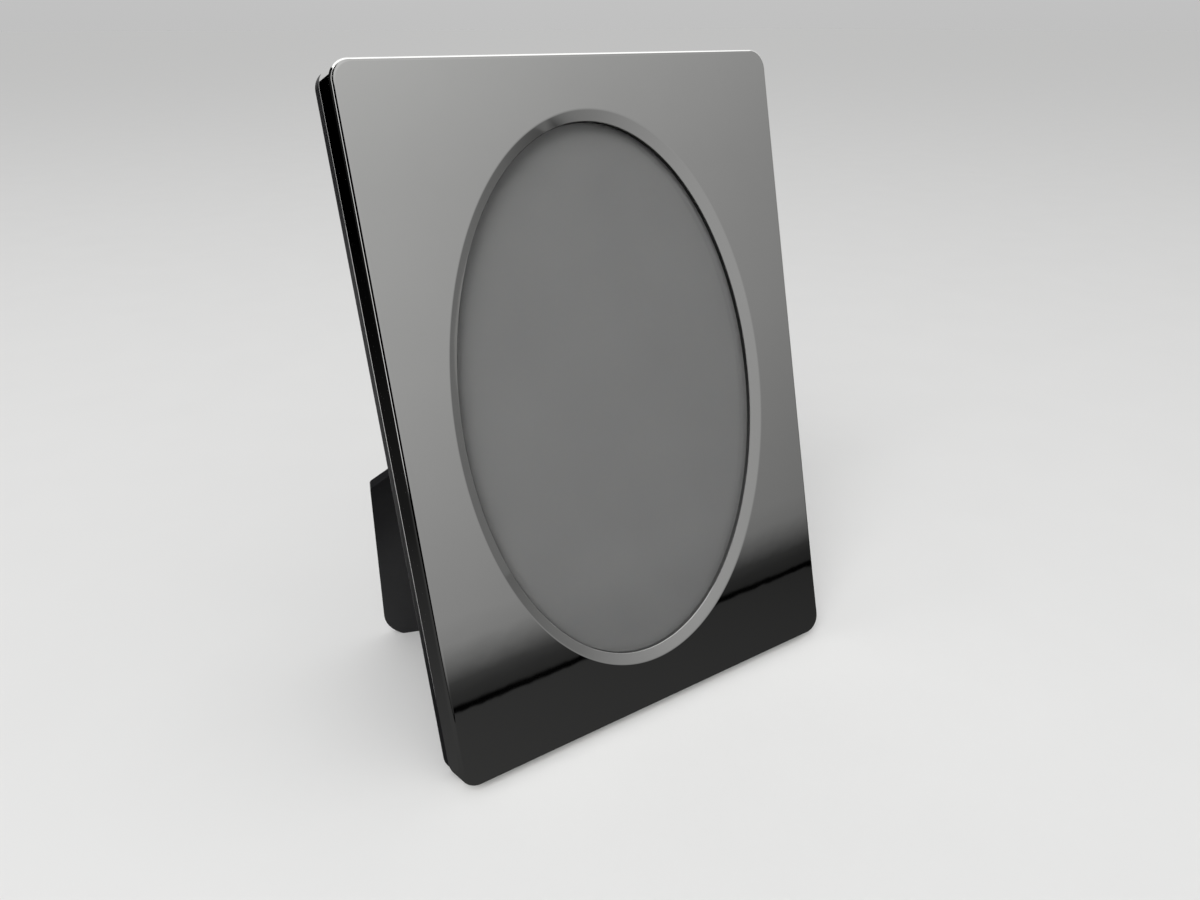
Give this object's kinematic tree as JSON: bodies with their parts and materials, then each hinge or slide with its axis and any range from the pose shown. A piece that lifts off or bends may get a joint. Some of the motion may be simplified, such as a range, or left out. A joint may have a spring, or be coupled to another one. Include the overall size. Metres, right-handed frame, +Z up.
{
  "type": "oval picture frame",
  "caption": "Rectangular polished silver picture frame with a bevelled oval window, a black wooden core, a velvet back and a hinged strut.",
  "frame": {"origin": "on the floor, below the middle of the bounding box", "axes": "+X to the right as seen from the front, +Y from the front towards the back, +Z up"},
  "size_m": [0.13, 0.0819, 0.177],
  "materials": {
    "polished_silver": "mirror polished silver plate",
    "black_lacquer": "satin black lacquer",
    "strut_lacquer": "satin black lacquer on board",
    "clear_glass": "clear float glass",
    "insert_paper": "pale grey paper, bare",
    "grey_card": "grey packing card",
    "fibreboard": "bare fibreboard",
    "black_velvet": "short black velvet pile",
    "plated_steel": "nickel plated"
  },
  "bodies": {
    "frame": {"front_shell": "polished_silver", "wood_core": "black_lacquer", "glass_pane": "clear_glass", "photo_insert": "insert_paper", "packing_card": "grey_card", "back_panel": "fibreboard", "panel_velvet": "black_velvet", "turn_button_screws": "plated_steel", "hinge_leaf_panel": "plated_steel", "hinge_pin": "plated_steel", "panel_rivets": "plated_steel"},
    "strut": {"strut": "strut_lacquer", "hinge_leaf_strut": "plated_steel", "strut_rivets": "plated_steel"},
    "top_button": {"turn_button_top": "plated_steel"},
    "right_button": {"turn_button_right": "plated_steel"},
    "bottom_button": {"turn_button_bottom": "plated_steel"},
    "left_button": {"turn_button_left": "plated_steel"}
  },
  "joints": [
    {"name": "strut_fold", "type": "hinge", "parent": "frame", "child": "strut", "pos_m": [0, -0.00532, 0.08747], "axis": [-0.809, 0.1422, 0.5703], "range_deg": [0, 35.16]},
    {"name": "top_button_turn", "type": "hinge", "parent": "frame", "child": "top_button", "pos_m": [0, 0.01304, 0.16854], "axis": [0, 0.9703, -0.2419], "range_deg": [-90, 90]},
    {"name": "right_button_turn", "type": "hinge", "parent": "frame", "child": "right_button", "pos_m": [0.05815, -0.00731, 0.08694], "axis": [0, 0.9703, -0.2419], "range_deg": [-90, 90]},
    {"name": "bottom_button_turn", "type": "hinge", "parent": "frame", "child": "bottom_button", "pos_m": [0, -0.02765, 0.00534], "axis": [0, 0.9703, -0.2419], "range_deg": [-90, 90]},
    {"name": "left_button_turn", "type": "hinge", "parent": "frame", "child": "left_button", "pos_m": [-0.05815, -0.00731, 0.08694], "axis": [0, 0.9703, -0.2419], "range_deg": [-90, 90]}
  ]
}
